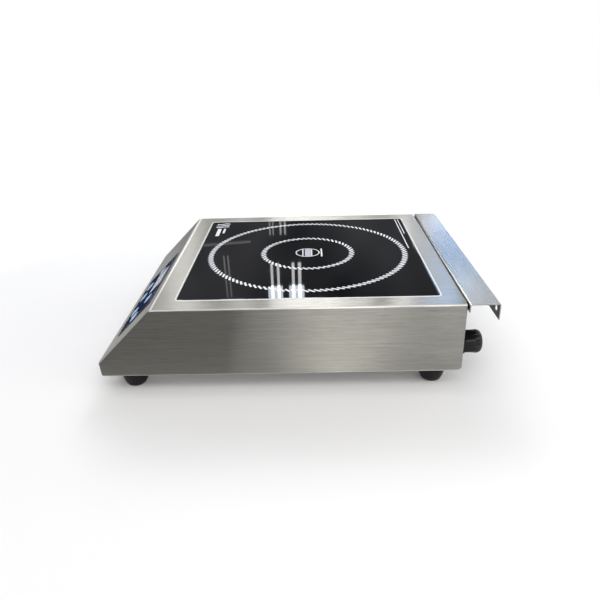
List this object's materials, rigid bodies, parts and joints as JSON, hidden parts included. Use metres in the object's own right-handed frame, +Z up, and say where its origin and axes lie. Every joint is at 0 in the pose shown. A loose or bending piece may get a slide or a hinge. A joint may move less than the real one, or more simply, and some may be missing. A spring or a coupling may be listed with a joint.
{
  "type": "countertop induction cooker",
  "caption": "Countertop induction cooker: folded steel body, flush black glass top, sloping key panel, rear guard, cord gland and rubber feet.",
  "frame": {"origin": "centre of the footprint's box, on the surface that the feet stand on", "axes": "+X to the user's right, +Y from the key panel to the rear guard, +Z up"},
  "size_m": [0.33, 0.42, 0.0989],
  "materials": {
    "brushed_steel": "satin, brushed along the length",
    "plain_steel": "mill finish",
    "black_glass": "polished, printed rings",
    "bead": "smooth sealant",
    "rubber": "matt moulded",
    "black_plastic": "moulded nylon",
    "black_metal": "black oxide",
    "overlay": "printed film",
    "key_pad": "embossed film",
    "window": "clear tinted film",
    "circuit_board": "solder mask",
    "black_part": "moulded",
    "aluminium": "extruded",
    "copper": "enamelled copper",
    "ferrite": "sintered",
    "mica": "pressed sheet",
    "cream_plastic": "moulded",
    "capacitor": "moulded",
    "terminal_green": "moulded"
  },
  "bodies": {
    "cooker": {"base_plate": "plain_steel", "board_tray": "cream_plastic", "bridge_rectifier": "black_part", "ceramic_glass": "black_glass", "coil_carrier": "cream_plastic", "control_board": "circuit_board", "display_window": "window", "fan_frame": "black_plastic", "ferrite_bar_1": "ferrite", "ferrite_bar_2": "ferrite", "ferrite_bar_3": "ferrite", "ferrite_bar_4": "ferrite", "filter_capacitor": "capacitor", "foot_front_left": "rubber", "foot_front_right": "rubber", "foot_rear_left": "rubber", "foot_rear_right": "rubber", "foot_screw_front_left": "plain_steel", "foot_screw_front_right": "plain_steel", "foot_screw_rear_left": "plain_steel", "foot_screw_rear_right": "plain_steel", "gland_body": "black_plastic", "gland_dome_nut": "black_plastic", "gland_locknut": "black_plastic", "gland_seal": "rubber", "glass_seal": "bead", "glass_support_frame": "plain_steel", "guard_screw_left": "black_metal", "guard_screw_right": "black_metal", "guard_spacer_left": "black_plastic", "guard_spacer_right": "black_plastic", "heatsink": "aluminium", "housing_shell": "brushed_steel", "igbt": "black_part", "induction_coil": "copper", "led_display": "black_part", "membrane_overlay": "overlay", "mica_sheet": "mica", "panel_rail_left": "plain_steel", "panel_rail_right": "plain_steel", "power_board": "circuit_board", "rear_guard": "brushed_steel", "rear_panel": "plain_steel", "resonant_capacitor": "capacitor", "sensor_cap": "cream_plastic", "sensor_spring": "plain_steel", "switch_function": "black_part", "switch_lock": "black_part", "switch_minus": "black_part", "switch_plus": "black_part", "switch_power": "black_part", "switch_timer": "black_part", "terminal_block": "terminal_green"},
    "rotor": {"fan_rotor": "black_part"},
    "function_key": {"key_function": "key_pad"},
    "minus_key": {"key_minus": "key_pad"},
    "plus_key": {"key_plus": "key_pad"},
    "timer_key": {"key_timer": "key_pad"},
    "lock_key": {"key_lock": "key_pad"},
    "power_key": {"key_power": "key_pad"}
  },
  "joints": [
    {"name": "fan_spin", "type": "hinge", "parent": "cooker", "child": "rotor", "pos_m": [-0.095, -0.005, 0.036], "axis": [0, 0, 1], "continuous": true},
    {"name": "function_press", "type": "slide", "parent": "cooker", "child": "function_key", "axis": [0, 0.7071, -0.7071], "range_m": [0, 0.0005], "stiffness_N_per_m": 400, "springref_m": -0.0005},
    {"name": "minus_press", "type": "slide", "parent": "cooker", "child": "minus_key", "axis": [0, 0.7071, -0.7071], "range_m": [0, 0.0005], "stiffness_N_per_m": 400, "springref_m": -0.0005},
    {"name": "plus_press", "type": "slide", "parent": "cooker", "child": "plus_key", "axis": [0, 0.7071, -0.7071], "range_m": [0, 0.0005], "stiffness_N_per_m": 400, "springref_m": -0.0005},
    {"name": "timer_press", "type": "slide", "parent": "cooker", "child": "timer_key", "axis": [0, 0.7071, -0.7071], "range_m": [0, 0.0005], "stiffness_N_per_m": 400, "springref_m": -0.0005},
    {"name": "lock_press", "type": "slide", "parent": "cooker", "child": "lock_key", "axis": [0, 0.7071, -0.7071], "range_m": [0, 0.0005], "stiffness_N_per_m": 400, "springref_m": -0.0005},
    {"name": "power_press", "type": "slide", "parent": "cooker", "child": "power_key", "axis": [0, 0.7071, -0.7071], "range_m": [0, 0.0005], "stiffness_N_per_m": 400, "springref_m": -0.0005}
  ]
}
